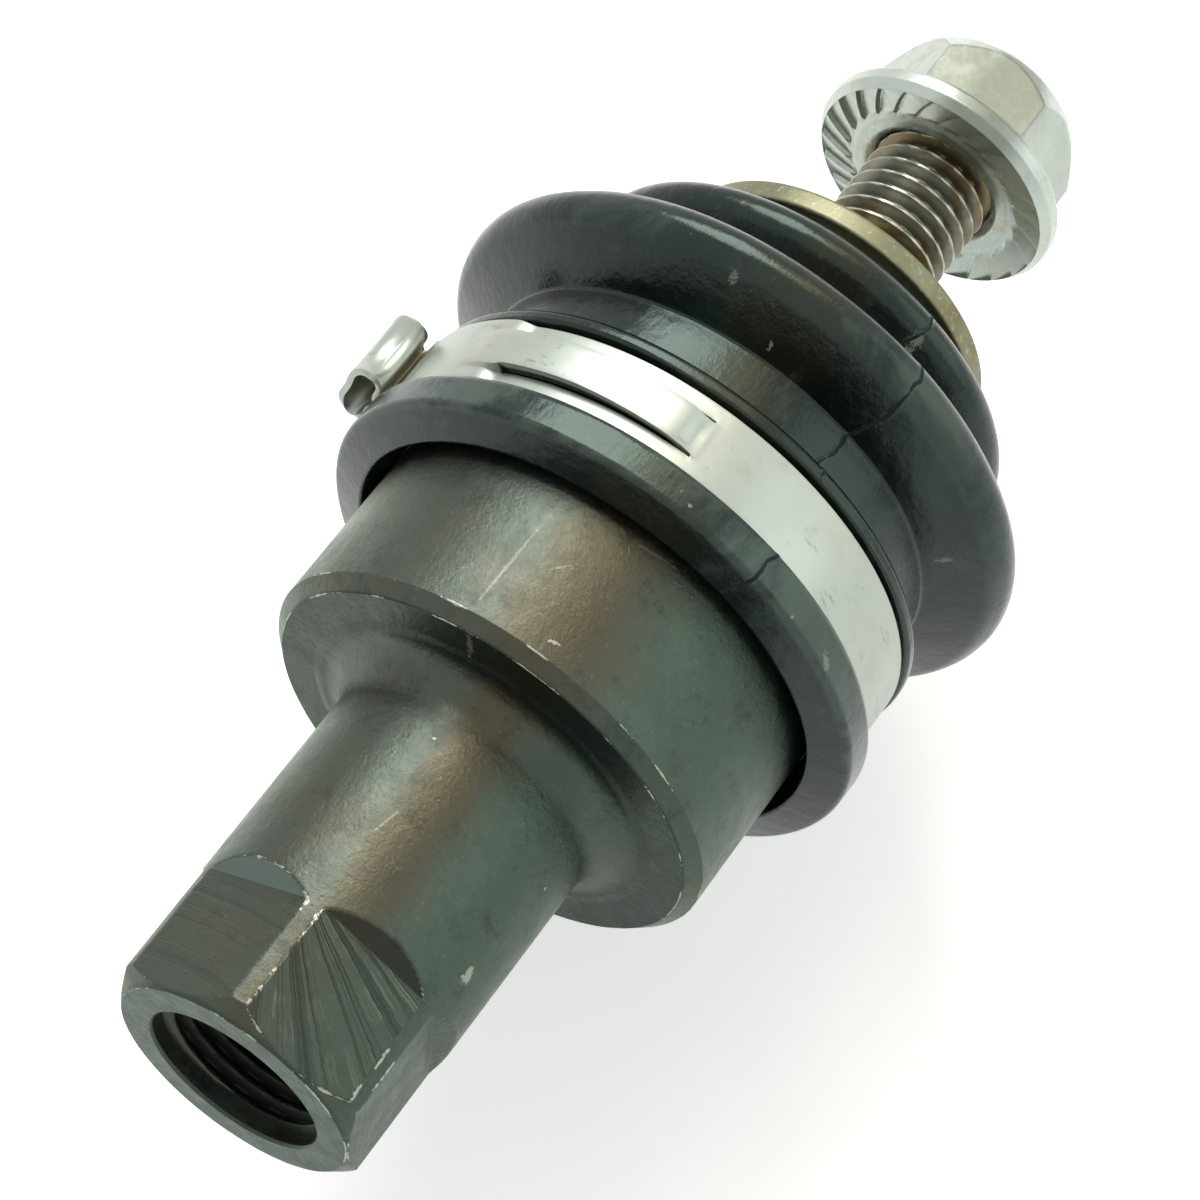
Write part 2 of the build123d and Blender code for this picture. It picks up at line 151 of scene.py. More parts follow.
def lathe(name, outline, turns, shape=None, worn=(), closed=False):
    """Turns an outline of (x, r) points about the X axis at the given angles.

    shape moves the (x, r, angle) arrays and gives named marks for the material, such as wear."""
    poles = [] if closed else [i for i in (0, len(outline) - 1) if outline[i][1] < 1e-6]
    x, a = np.meshgrid(outline[:, 0], turns, indexing="ij")
    r = np.repeat(outline[:, 1][:, None], len(turns), 1)
    wear = np.zeros_like(x)
    for wx, wr in worn:
        wear = np.maximum(wear, np.exp(-((x - wx) ** 2 + (r - wr) ** 2) / WEAR_WIDTH**2))
    marks = {"wear": wear}
    if shape:
        x, r, a, extra = shape(x, r, a)
        marks["wear"] = np.maximum(wear, extra.pop("wear", 0))
        marks.update(extra)
    verts = np.stack([x, r * np.cos(a), r * np.sin(a)], -1).reshape(-1, 3) * MM
    rows, n = len(outline), len(turns)
    faces = []
    for i in range(rows if closed else rows - 1):
        j = (i + 1) % rows
        for k in range(n):
            m = (k + 1) % n
            if i in poles and i == 0:
                faces.append((i * n, j * n + k, j * n + m))
            elif j in poles:
                faces.append((i * n + k, j * n, i * n + m))
            else:
                faces.append((i * n + k, j * n + k, j * n + m, i * n + m))
    obj = mesh_object(name, verts, faces, marks)
    loose = bmesh.new()
    loose.from_mesh(obj.data)
    bmesh.ops.delete(loose, geom=[v for v in loose.verts if not v.link_faces], context="VERTS")
    loose.to_mesh(obj.data)
    loose.free()
    return obj


def around(count):
    """Even angles once round."""
    return np.arange(count) * 2 * pi / count


def hexagon(distance, angle, turn):
    """Radius of a hexagon's wall at an angle."""
    return distance / np.cos((angle - radians(turn) + pi / 6) % (pi / 3) - pi / 6)


def thread(major, minor, pitch, x, a, crest=0.12, root=0.16):
    """Radius of a right-handed thread."""
    phase = (x / pitch - a / (2 * pi)) % 1
    height = np.clip((np.abs(phase - 0.5) * 2 - crest) / (1 - crest - root), 0, 1)
    return major - (major - minor) * height


# Materials

class Shader:
    """A new material with short helpers that place and link its nodes."""

    def __init__(self, name):
        self.material = bpy.data.materials.new(name)
        self.material.use_nodes = True
        self.tree = self.material.node_tree
        self.tree.nodes.clear()
        self.surface = self.node("ShaderNodeBsdfPrincipled")
        output = self.node("ShaderNodeOutputMaterial")
        self.tree.links.new(self.surface.outputs[0], output.inputs["Surface"])
        self.place = self.node("ShaderNodeTexCoord").outputs["Object"]

    def node(self, kind, **settings):
        made = self.tree.nodes.new(kind)
        for key, value in settings.items():
            setattr(made, key, value)
        return made

    def put(self, socket, value):
        if isinstance(value, bpy.types.NodeSocket):
            self.tree.links.new(value, socket)
        elif socket.type == "RGBA" and len(value) == 3:
            socket.default_value = (*value, 1)
        else:
            socket.default_value = value

    def set(self, **values):
        for key, value in values.items():
            self.put(self.surface.inputs[key.replace("_", " ")], value)

    def math(self, operation, a, b=0.0):
        made = self.node("ShaderNodeMath", operation=operation)
        self.put(made.inputs[0], a)
        self.put(made.inputs[1], b)
        return made.outputs[0]

    def times(self, a, b):
        return self.math("MULTIPLY", a, b)

    def plus(self, a, b):
        return self.math("ADD", a, b)

    def minus(self, a, b):
        return self.math("SUBTRACT", a, b)

    def larger(self, a, b):
        return self.math("MAXIMUM", a, b)

    def stretch(self, x, y, z):
        made = self.node("ShaderNodeMapping")
        self.put(made.inputs["Vector"], self.place)
        made.inputs["Scale"].default_value = (x, y, z)
        return made.outputs[0]

    def noise(self, per_metre, detail=3.0, rough=0.55, vector=None, distort=0.0):
        made = self.node("ShaderNodeTexNoise")
        self.put(made.inputs["Vector"], vector or self.place)
        made.inputs["Scale"].default_value = per_metre
        made.inputs["Detail"].default_value = detail
        made.inputs["Roughness"].default_value = rough
        made.inputs["Distortion"].default_value = distort
        return made.outputs["Fac"]

    def cells(self, per_metre):
        made = self.node("ShaderNodeTexVoronoi")
        self.put(made.inputs["Vector"], self.place)
        made.inputs["Scale"].default_value = per_metre
        return made.outputs["Distance"]

    def steps(self, value, low, high, low_value=0.0, high_value=1.0):
        """A soft step from low_value to high_value as the value goes from low to high."""
        made = self.node("ShaderNodeMapRange", interpolation_type="SMOOTHSTEP")
        self.put(made.inputs["Value"], value)
        made.inputs["From Min"].default_value = low
        made.inputs["From Max"].default_value = high
        made.inputs["To Min"].default_value = low_value
        made.inputs["To Max"].default_value = high_value
        return made.outputs[0]

    def mix(self, share, a, b):
        """A mix of two colours. The node has its colour sockets at inputs 6 and 7 and at output 2."""
        made = self.node("ShaderNodeMix", data_type="RGBA")
        self.put(made.inputs[0], share)
        self.put(made.inputs[6], a)
        self.put(made.inputs[7], b)
        return made.outputs[2]

    def bump(self, height, distance_mm, normal=None):
        made = self.node("ShaderNodeBump")
        made.inputs["Strength"].default_value = 1.0
        made.inputs["Distance"].default_value = distance_mm * MM
        self.put(made.inputs["Height"], height)
        if normal:
            self.put(made.inputs["Normal"], normal)
        return made.outputs[0]

    def mark(self, name):
        """A value that the mesh carries at its points."""
        return self.node("ShaderNodeAttribute", attribute_name=name).outputs["Fac"]

    def lines(self, value, per_unit, detail=3.0, rough=0.6):
        """Noise along one value, for marks that follow a line."""
        made = self.node("ShaderNodeTexNoise", noise_dimensions="1D")
        self.put(made.inputs["W"], value)
        made.inputs["Scale"].default_value = per_unit
        made.inputs["Detail"].default_value = detail
        made.inputs["Roughness"].default_value = rough
        return made.outputs["Fac"]

    def axis_radius(self):
        """(place along the axis, distance from the axis) for marks that run round the piece."""
        split = self.node("ShaderNodeSeparateXYZ")
        self.put(split.inputs[0], self.place)
        y, z = split.outputs[1], split.outputs[2]
        square = self.plus(self.times(y, y), self.times(z, z))
        return split.outputs[0], self.math("SQRT", square)

    def angle(self, wobble=0.3):
        """Angle round the axis in degrees, made uneven, for painted reflections and shade that lie on one
        side.
        """
        split = self.node("ShaderNodeSeparateXYZ")
        self.put(split.inputs[0], self.place)
        turn = self.times(self.math("ARCTAN2", split.outputs[2], split.outputs[1]), 180 / pi)
        uneven = self.times(self.minus(self.noise(110, 4, 0.65), 0.5), wobble * 180 / pi)
        return self.plus(turn, uneven)

    def between(self, value, start, full, fade, end):
        """A mask that rises from start to full and falls from fade to end."""
        return self.times(self.steps(value, start, full), self.steps(value, fade, end, 1, 0))

    def worn_line(self, wear):
        """A thin ragged line along the marked edges, broken where slow noise is low."""
        slow = self.times(self.minus(self.noise(230, 3, 0.6), 0.5), 1.6)
        fast = self.times(self.minus(self.noise(1900, 4, 0.75), 0.5), 0.7)
        return self.steps(self.plus(wear, self.plus(slow, fast)), 1.03, 1.12)

    def ring_place(self, wobble=0.02):
        """A vector that hardly changes round the axis, so that noise in it draws turning marks."""
        x, r = self.axis_radius()
        made = self.node("ShaderNodeCombineXYZ")
        split = self.node("ShaderNodeSeparateXYZ")
        self.put(split.inputs[0], self.place)
        self.put(made.inputs[0], x)
        self.put(made.inputs[1], r)
        self.put(made.inputs[2], self.times(split.outputs[1], wobble))
        return made.outputs[0]

    def spots(self, places, ragged):
        """A mask of small marks, each (x, angle, radius, length, width, turn), sizes in mm and degrees."""
        total = None
        for x, angle, radius, length, width, turn in places:
            a, t = radians(angle), radians(turn)
            out = Vector((0, cos(a), sin(a)))
            side = Vector((0, -sin(a), cos(a)))
            first = Vector((1, 0, 0)) * cos(t) + side * sin(t)
            made = self.node("ShaderNodeMapping", vector_type="TEXTURE")
            self.put(made.inputs["Vector"], self.place)
            made.inputs["Location"].default_value = Vector((x, 0, 0)) * MM + out * radius * MM
            axes = Matrix((first, out.cross(first), out)).transposed()
            made.inputs["Rotation"].default_value = axes.to_euler()
            made.inputs["Scale"].default_value = (length * MM / 2, width * MM / 2, SPOT_REACH * MM)
            away = self.node("ShaderNodeVectorMath", operation="LENGTH")
            self.put(away.inputs[0], made.outputs[0])
            edge = self.plus(away.outputs["Value"], ragged)
            mask = self.steps(edge, 1.0, 1.25, 1, 0)
            total = self.larger(total, mask) if total else mask
        return total


# Colours of the surfaces, as linear red, green and blue
OXIDE_GREEN, OXIDE_GREY = (0.072, 0.086, 0.07), (0.078, 0.083, 0.062)
PAINTED_WARM_REFLECTION, PAINTED_TEAL_REFLECTION = (0.08, 0.062, 0.034), (0.05, 0.08, 0.062)
OXIDE_DARK, OXIDE_PALE = (0.032, 0.036, 0.029), (0.13, 0.145, 0.12)
MILLED, CUTTER_DARK = (0.06, 0.075, 0.058), (0.018, 0.024, 0.02)
RAMP_PAINTED_LIGHT, RAMP_PAINTED_SHADE = (0.12, 0.16, 0.14), (0.03, 0.03, 0.022)
SHOULDER_PAINTED_SHADE, END_FACE_PAINTED_SHADE = (0.022, 0.03, 0.023), (0.036, 0.056, 0.041)
BORE_MOUTH_PAINTED_SHADE, BORE_DEEP_PAINTED_SHADE = (0.036, 0.04, 0.033), (0.005, 0.006, 0.005)
BARE_STEEL = (0.42, 0.43, 0.36)
RUBBER_BLACK, RUBBER_GREEN = (0.0035, 0.006, 0.0048), (0.007, 0.0115, 0.009)
RUBBER_BLOOM, RUBBER_PAINTED_WARM_REFLECTION = (0.03, 0.041, 0.032), (0.022, 0.017, 0.009)
RUBBER_DUST_AND_SHEEN, RUBBER_STREAK = (0.065, 0.088, 0.073), (0.055, 0.064, 0.053)
RUBBER_SPECK, RUBBER_TORN = (0.09, 0.1, 0.086), (0.3, 0.33, 0.29)
CRACK_LIP_HIGHLIGHT, CRACK_BLACK = (0.07, 0.085, 0.072), (0.0025, 0.003, 0.0025)
STRIP_COOL, STRIP_WARM = (0.43, 0.475, 0.42), (0.44, 0.43, 0.36)
STRIP_STAIN, STRIP_BEND, STRIP_LINE = (0.3, 0.3, 0.25), (0.34, 0.26, 0.14), (0.2, 0.21, 0.18)
GOLD_PALE, GOLD_BROWN, GOLD_GRAIN = (0.215, 0.215, 0.132), (0.17, 0.148, 0.072), (0.38, 0.388, 0.28)
THREAD_GREY, THREAD_BROWN = (0.24, 0.25, 0.21), (0.2, 0.155, 0.085)
THREAD_ROOT_SHADE, THREAD_CREST_BARE_AND_HIGHLIGHT = (0.07, 0.062, 0.047), (0.5, 0.5, 0.44)
ZINC_BLUE, ZINC_YELLOW, ZINC_SHADE = (0.5, 0.56, 0.51), (0.47, 0.49, 0.38), (0.19, 0.215, 0.18)
ZINC_DULL_AND_SHADE, ZINC_GRAIN = (0.22, 0.245, 0.2), (0.28, 0.31, 0.265)
ACETAL_CREAM, NYLON_WHITE = (0.78, 0.77, 0.7), (0.7, 0.72, 0.72)


def dark_steel():
    """Oxidised dark steel, milled on the flats and bare on the worn edges, with painted reflections, glints
    and shade.
    """
    s = Shader("dark_steel")
    angle = s.angle()
    x, r = s.axis_radius()
    grain = s.noise(1300, 5, 0.75)
    pits = s.steps(s.cells(900), 0.05, 0.22)
    rings = s.noise(3600, 2, 0.6, s.ring_place())
    colour = s.mix(s.steps(s.noise(90, 4, 0.6), 0.4, 0.65), OXIDE_GREEN, OXIDE_GREY)
    # Painted reflections by the angle round the axis: a warm stripe beside the highlight, and teal on the
    # far side
    colour = s.mix(s.times(s.between(angle, 88, 98, 108, 122), 0.55), colour, PAINTED_WARM_REFLECTION)
    colour = s.mix(s.times(s.between(angle, 116, 134, 185, 200), 0.7), colour, PAINTED_TEAL_REFLECTION)
    colour = s.mix(s.steps(s.noise(330, 5, 0.75), 0.52, 0.7, 0, 0.6), colour, OXIDE_DARK)
    colour = s.mix(s.steps(grain, 0.56, 0.75, 0, 0.5), colour, OXIDE_PALE)

    # The milled flats, their ramps with painted light on one and painted shade on the next, the shoulder and
    # end face, and the lines that the cutter left
    flat, ramp = s.mark("flat"), s.mark("shade")
    cutter = s.lines(s.plus(s.mark("mark"), s.times(s.noise(240, 3, 0.6), 0.7)), 0.8, 4, 0.65)
    colour = s.mix(s.times(flat, 0.7), colour, MILLED)
    colour = s.mix(s.steps(ramp, 0.3, 0.7, 0, 0.8), colour, RAMP_PAINTED_LIGHT)
    colour = s.mix(s.steps(ramp, -0.3, -0.7, 0, 0.85), colour, RAMP_PAINTED_SHADE)
    # Painted shade on the shoulder face and on the end face
    shoulder = s.times(s.between(x, -0.0158, -0.0148, -0.01355, -0.0134), s.steps(r, 0.0148, 0.0162))
    colour = s.mix(s.times(shoulder, 0.75), colour, SHOULDER_PAINTED_SHADE)
    colour = s.mix(s.steps(x, -0.0482, -0.0485, 0, 0.8), colour, END_FACE_PAINTED_SHADE)
    colour = s.mix(s.times(flat, s.steps(cutter, 0.35, 0.43, 0.65, 0)), colour, CUTTER_DARK)

    # Painted glints between the cutter lines, and bare metal on the worn edges, nicks and scratches
    ridge = s.times(flat, s.between(cutter, 0.5, 0.512, 0.518, 0.53))
    painted_glint = s.times(ridge, s.steps(s.noise(330, 2), 0.5, 0.6))
    edge = s.worn_line(s.mark("wear"))
    ragged = s.times(s.minus(s.noise(1900, 4, 0.8), 0.42), 3.4)
    nicks = s.spots(STEEL_NICKS, ragged)
    scratches = s.spots(STEEL_SCRATCHES, s.times(ragged, 0.9))
    bright = s.larger(s.larger(s.times(painted_glint, 0.16), s.times(edge, 0.9)),
                      s.larger(s.times(nicks, 0.6), s.times(scratches, 0.16)))
    colour = s.mix(bright, colour, BARE_STEEL)

    # The bore, with painted shade that darkens inwards
    inside = s.times(s.steps(r, 0.0086, 0.0083), s.steps(x, -0.0478, -0.0462))
    colour = s.mix(inside, colour, s.mix(s.steps(x, -0.0465, -0.038), BORE_MOUTH_PAINTED_SHADE, BORE_DEEP_PAINTED_SHADE))
    rough = s.steps(s.noise(420, 5, 0.7), 0.35, 0.65, 0.27, 0.39)
    bumps = s.bump(s.times(s.steps(cutter, 0.4, 0.5), flat), 0.1, s.bump(grain, 0.07, s.bump(pits, 0.012)))
    s.set(Base_Color=colour, Metallic=0.85, Roughness=s.larger(rough, s.times(inside, 0.55)),
          Normal=s.bump(rings, 0.005, bumps), Specular_Tint=(0.9, 0.98, 0.92, 1.0))
    return s.material


def black_rubber():
    """Satin black rubber with a green cast: dusty in patches with painted sheen, a painted warm reflection
    on one side, cracked at the parting line, torn in spots.
    """
    s = Shader("black_rubber")
    angle = s.angle()
    cloud = s.noise(120, 4, 0.6)
    bloom = s.noise(65, 6, 0.7, distort=0.9)
    fine = s.noise(700, 5, 0.75)
    streak = s.noise(420, 5, 0.75, s.stretch(0.35, 1, 1))
    colour = s.mix(s.steps(cloud, 0.4, 0.7), RUBBER_BLACK, RUBBER_GREEN)
    colour = s.mix(s.steps(bloom, 0.5, 0.68), colour, RUBBER_BLOOM)
    # Painted warm reflection on one side
    colour = s.mix(s.times(s.between(angle, 90, 98, 108, 120), 0.6), colour, RUBBER_PAINTED_WARM_REFLECTION)
    # Dust on the lip and the large fold's crest, made lighter as painted sheen
    colour = s.mix(s.times(s.mark("dust_and_sheen"), s.steps(bloom, 0.42, 0.58, 0.1, 0.9)), colour, RUBBER_DUST_AND_SHEEN)
    colour = s.mix(s.steps(streak, 0.58, 0.72, 0, 0.6), colour, RUBBER_STREAK)
    colour = s.mix(s.steps(fine, 0.6, 0.75, 0, 0.6), colour, RUBBER_SPECK)

    # Torn spots that show pale rubber
    flake = s.times(s.steps(s.cells(420), 0.015, 0.035, 1, 0), s.steps(s.noise(95, 1), 0.5, 0.55))
    ragged = s.times(s.minus(s.noise(2600, 4, 0.8), 0.42), 4.6)
    torn = s.larger(s.times(flake, 0.6), s.times(s.spots(RUBBER_NICKS, ragged), 0.75))
    colour = s.mix(torn, colour, RUBBER_TORN)

    # The crack along the parting line, with painted highlights on its raised edges
    line = s.mark("seam")
    crack = s.plus(line, s.times(s.minus(s.noise(900, 4, 0.7), 0.5), 1.1))
    seam = s.times(s.steps(crack, 0.42, 0.6), s.steps(line, 0.05, 0.2))
    lip_highlight = s.times(s.between(line, 0.02, 0.12, 0.3, 0.6), s.steps(fine, 0.45, 0.6))
    colour = s.mix(s.times(lip_highlight, 0.6), colour, CRACK_LIP_HIGHLIGHT)
    colour = s.mix(seam, colour, CRACK_BLACK)

    rough = s.larger(s.steps(bloom, 0.4, 0.7, 0.16, 0.32), s.times(s.larger(torn, seam), 0.8))
    bumps = s.bump(fine, 0.03, s.bump(cloud, 0.15, s.bump(streak, 0.06)))
    s.set(Base_Color=colour, Roughness=rough, Normal=bumps, Specular_IOR_Level=0.44,
          Specular_Tint=(0.76, 1.0, 0.86, 1.0))
    return s.material


def bright_strip():
    """Stainless spring strip with fine rolling lines and a warm tint at the bends."""
    s = Shader("bright_strip")
    rolled = s.noise(5200, 3, 0.6, s.ring_place(0.05))
    tint = s.noise(160, 3, 0.6)
    lines = s.noise(900, 5, 0.75, s.stretch(1, 0.3, 0.3))
    colour = s.mix(s.steps(tint, 0.5, 0.8), STRIP_COOL, STRIP_WARM)
    colour = s.mix(s.steps(s.noise(420, 5, 0.7), 0.55, 0.8, 0, 0.5), colour, STRIP_STAIN)
    colour = s.mix(s.mark("bend"), colour, STRIP_BEND)
    colour = s.mix(s.steps(lines, 0.58, 0.72, 0, 0.7), colour, STRIP_LINE)
    s.set(Base_Color=colour, Metallic=0.75, Roughness=s.steps(tint, 0.3, 0.7, 0.34, 0.46),
          Normal=s.bump(rolled, 0.004))
    return s.material


def yellow_zinc():
    """Yellow zinc plating, grainy on the rim."""
    s = Shader("yellow_zinc")
    grain = s.noise(1500, 4, 0.7)
    cloud = s.noise(180, 3, 0.6)
    rings = s.noise(4200, 2, 0.6, s.ring_place())
    colour = s.mix(s.steps(cloud, 0.35, 0.7), GOLD_PALE, GOLD_BROWN)
    colour = s.mix(s.steps(grain, 0.52, 0.75), colour, GOLD_GRAIN)
    s.set(Base_Color=colour, Metallic=0.7, Roughness=s.steps(grain, 0.3, 0.7, 0.34, 0.46),
          Normal=s.bump(rings, 0.008, s.bump(grain, 0.015)))
    return s.material


def thread_steel():
    """Rolled thread: bare crests with a painted highlight, roots in painted shade, brown in places."""
    s = Shader("thread_steel")
    cloud = s.noise(140, 3, 0.6, distort=0.8)
    grain = s.noise(2600, 3, 0.6)
    _, r = s.axis_radius()
    colour = s.mix(s.steps(cloud, 0.4, 0.55), THREAD_GREY, THREAD_BROWN)
    # Painted shade in the roots, and bare metal with a painted highlight on the crests
    colour = s.mix(s.steps(r, 0.00575, 0.0051, 0, 0.5), colour, THREAD_ROOT_SHADE)
    colour = s.mix(s.steps(r, 0.0059, 0.00598, 0, 0.7), colour, THREAD_CREST_BARE_AND_HIGHLIGHT)
    s.set(Base_Color=colour, Metallic=0.9, Roughness=s.steps(grain, 0.3, 0.7, 0.28, 0.42),
          Normal=s.bump(grain, 0.006))
    return s.material


def pale_zinc():
    """Pale blue-green zinc plating, satin, faintly yellow in places, duller on the hexagon, with painted
    shade on one side and on the hexagon's front face.
    """
    s = Shader("pale_zinc")
    grain = s.noise(1300, 4, 0.65)
    colour = s.mix(s.steps(s.noise(210, 3, 0.6), 0.52, 0.75), ZINC_BLUE, ZINC_YELLOW)
    # Painted shade on one side of the nut
    colour = s.mix(s.times(s.between(s.angle(), 84, 100, 122, 138), 0.8), colour, ZINC_SHADE)
    dull_and_shade = s.times(s.mark("dull_and_shade"), s.steps(s.noise(330, 4, 0.65), 0.35, 0.6, 0.6, 1))
    colour = s.mix(dull_and_shade, colour, ZINC_DULL_AND_SHADE)
    colour = s.mix(s.steps(s.noise(900, 5, 0.75), 0.52, 0.75, 0, 0.45), colour, ZINC_GRAIN)
    s.set(Base_Color=colour, Metallic=0.75, Roughness=s.steps(grain, 0.3, 0.7, 0.26, 0.4),
          Normal=s.bump(grain, 0.02))
    return s.material


def polymer(name, colour):
    """Pale moulded polymer."""
    s = Shader(name)
    grain = s.noise(1800, 3, 0.6)
    shade = s.mix(s.steps(s.noise(200), 0.4, 0.7), colour, tuple(c * 0.9 for c in colour))
    s.set(Base_Color=shade, Roughness=0.45, Normal=s.bump(grain, 0.01))
    return s.material


# Small marks seen on the steel and the rubber: (x, angle, radius, length, width, turn)
STEEL_NICKS = [
    (-13.7, 89, 18.5, 0.5, 0.8, 20), (-32.3, 160, 12.5, 1.8, 1.2, 10), (-21.8, 166, 12.5, 0.4, 0.4, 0),
    (-10.8, 106, 21.4, 1.0, 0.35, 70), (-19.5, 90, 12.9, 0.4, 0.3, 80)]
STEEL_SCRATCHES = [
    (-7.4, 87.5, 21.4, 8.0, 0.3, 1), (1.0, 112, 21.4, 4.4, 0.28, 82), (1.6, 116, 21.4, 2.8, 0.22, 74),
    (-5.0, 97, 21.4, 2.6, 0.2, 40), (-28.0, 95, 12.5, 3.4, 0.2, 12)]
RUBBER_NICKS = [
    (23.6, 92, 26.5, 0.7, 1.0, 20), (33.0, 129.5, 21.2, 1.2, 2.2, 70), (22.0, 167, 24.4, 0.8, 0.8, 30),
    (3.6, 150, 26.3, 0.7, 2.4, 25), (3.8, 110.5, 26.3, 0.4, 0.4, 0), (4.4, 108, 26.3, 0.3, 0.3, 0),
    (21.8, 104, 24.0, 0.5, 0.4, 0), (3.2, 138, 26.2, 0.5, 0.3, 0)]

steel, rubber, strip = dark_steel(), black_rubber(), bright_strip()
gold, threaded, zinc = yellow_zinc(), thread_steel(), pale_zinc()
acetal, nylon = polymer("acetal", ACETAL_CREAM), polymer("nylon", NYLON_WHITE)


def finish_piece(obj, material, body, node):
    """Gives a piece its material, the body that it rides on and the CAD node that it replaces."""
    obj.data.materials.append(material)
    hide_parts(node)
    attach(obj, body)


# Housing: one turned body with tapped bore, milled flats, shoulder and open socket

# Centres of the cutter's fan and of its arcs, (along, across) from the shank's end, the fan's spread in
# millimetres a radian, and how far apart two flats read the noise
FAN_CENTRE, ARC_CENTRE = (14, -12), (-26, -4)
FAN_SPREAD, FLAT_SHIFT = 14, 40

# How far the ramps rise past the shank's surface, the depth of cut that is marked in full, and the width of
# the wear beside a cut
RAMP_RISE, FULL_CUT, CUT_WEAR = 0.8, 0.12, 0.25

# Chamfer at the bore's mouth, play of the relief before its thread, and how far the flats and ramps reach
BORE_CHAMFER, THREAD_PLAY = 0.25, 0.05
FLAT_LIMIT = END_X + FLAT_END + FLAT_RAMP + 0.6


def cutter_path(k, along, across):
    """Place across the cutter's marks on flat k: a fan on every second flat, wide arcs on the others."""
    if k % 2 == 0:
        return np.arctan2(along - FAN_CENTRE[0], across - FAN_CENTRE[1]) * FAN_SPREAD + FLAT_SHIFT * k
    return np.hypot(along - ARC_CENTRE[0], across - ARC_CENTRE[1]) + FLAT_SHIFT * k


def housing_shape(x, r, a):
    """Mills the flats and their ramps and cuts the bore's thread, with marks for the steel."""
    shank = (r > 9) & (x < FLAT_LIMIT)
    ramp = np.clip((x - END_X - FLAT_END) / FLAT_RAMP, 0, 1) * (SHANK_RADIUS + RAMP_RISE - FLAT_DISTANCE)
    wall = hexagon(FLAT_DISTANCE, a, FLAT_TURN) + ramp
    cut = shank & (r > wall)
    side = np.floor((np.degrees(a) - FLAT_TURN + 30) / 60).astype(int) % 6
    across = wall * np.sin(a - np.radians(FLAT_TURN + 60 * side))
    mark = sum(np.where(side == k, cutter_path(k, x - END_X, across), 0) for k in range(6))
    depth = np.where(cut, np.clip((r - wall) / FULL_CUT, 0, 1), 0)
    # Mark for painted light on one flat's ramp and painted shade on the next flat's ramp
    shade = np.where(ramp > 0, depth, 0) * ((side == 1) * 1.0 - (side == 2) * 1.0)
    flat = np.where(ramp == 0, depth, 0) * np.where(side % 2 == 0, 1.0, 0.35)
    edge = np.where(shank & (r > END_RADIUS + 0.05), np.exp(-(((r - wall) / CUT_WEAR) ** 2)), 0.0)
    bore = (r < BORE_RADIUS + NEAR) & (x < BORE_END) & (x > END_X - NEAR) & (r > BORE_MINOR - 1)
    tapped = thread(BORE_RADIUS, BORE_MINOR, BORE_PITCH, x, a)
    turned = np.where(x - END_X < BORE_RELIEF, BORE_RADIUS + THREAD_PLAY, tapped)
    turned = np.maximum(turned, BORE_RADIUS + BORE_CHAMFER - (x - END_X))
    r = np.where(cut, wall, r)
    r = np.where(bore, np.minimum(turned, BORE_RADIUS + BORE_CHAMFER), r)
    return x, r, a, {"wear": edge, "flat": flat, "mark": mark, "shade": shade}


# Height of the boss round the shank's foot, and half the angle of the drill's point
BOSS, DRILL_HALF_ANGLE = 0.18, radians(59)
SHOULDER_CHAMFER, RIM_RADIUS = 1.2, SOCKET_RADIUS - 0.1
DRILL_TIP = BORE_END + BORE_RADIUS / tan(DRILL_HALF_ANGLE)
bore_wall = np.array([(x, BORE_RADIUS) for x in np.arange(BORE_END - 0.05, END_X + 0.02, -0.1)])
shank_line = rounded([
    (END_X, BORE_RADIUS + BORE_CHAMFER, 0), (END_X, END_RADIUS, 0.12), (END_X + 1.3, SHANK_RADIUS, 0.3),
    (FLAT_LIMIT, SHANK_RADIUS, 0)], 0.22)
socket_line = rounded([
    (FLAT_LIMIT, SHANK_RADIUS, 0), (SHOULDER_X - BOSS, SHANK_RADIUS, 3.2), (SHOULDER_X - BOSS, 16.1, 2.2),
    (SHOULDER_X, 16.9, 0.9), (SHOULDER_X, SOCKET_RADIUS - SHOULDER_CHAMFER, 0.12),
    (SHOULDER_X + SHOULDER_CHAMFER, SOCKET_RADIUS, 0.12),
    (GROOVE_START, SOCKET_RADIUS, 0), (GROOVE_START, GROOVE_RADIUS, 0),
    (GROOVE_END, GROOVE_RADIUS, 0), (GROOVE_END, RIM_RADIUS, 0), (RIM_X, RIM_RADIUS, 0.8),
    (RIM_X, RING_RADIUS, 0), (RING_END + 3.3, RING_RADIUS, 0), (RING_END + 1.6, LIP_RADIUS, 0),
    (RING_END, LIP_RADIUS, 0), (RING_END, RING_RADIUS, 0), (RING_START, RING_RADIUS, 0),
    (RING_START, POCKET_RADIUS, 0), (0, POCKET_RADIUS, 0)], 0.45)
pocket = np.array([(-POCKET_RADIUS * sin(a), POCKET_RADIUS * cos(a)) for a in np.linspace(0, pi / 2, 25)])
pocket[-1, 1] = 0
drill_end = [(DRILL_TIP, 0), (BORE_END, BORE_RADIUS)]
housing_line = np.vstack([drill_end, bore_wall, shank_line, socket_line[1:], pocket[1:]])
housing_edges = [(END_X, END_RADIUS), (SHOULDER_X, SOCKET_RADIUS - SHOULDER_CHAMFER),
                 (SHOULDER_X + SHOULDER_CHAMFER, SOCKET_RADIUS)]
housing = lathe("housing_body", housing_line, around(480), housing_shape, worn=housing_edges)
finish_piece(housing, steel, "socket", "housing")


# Boot: a skin wound round bend circles, split at the large fold's crest

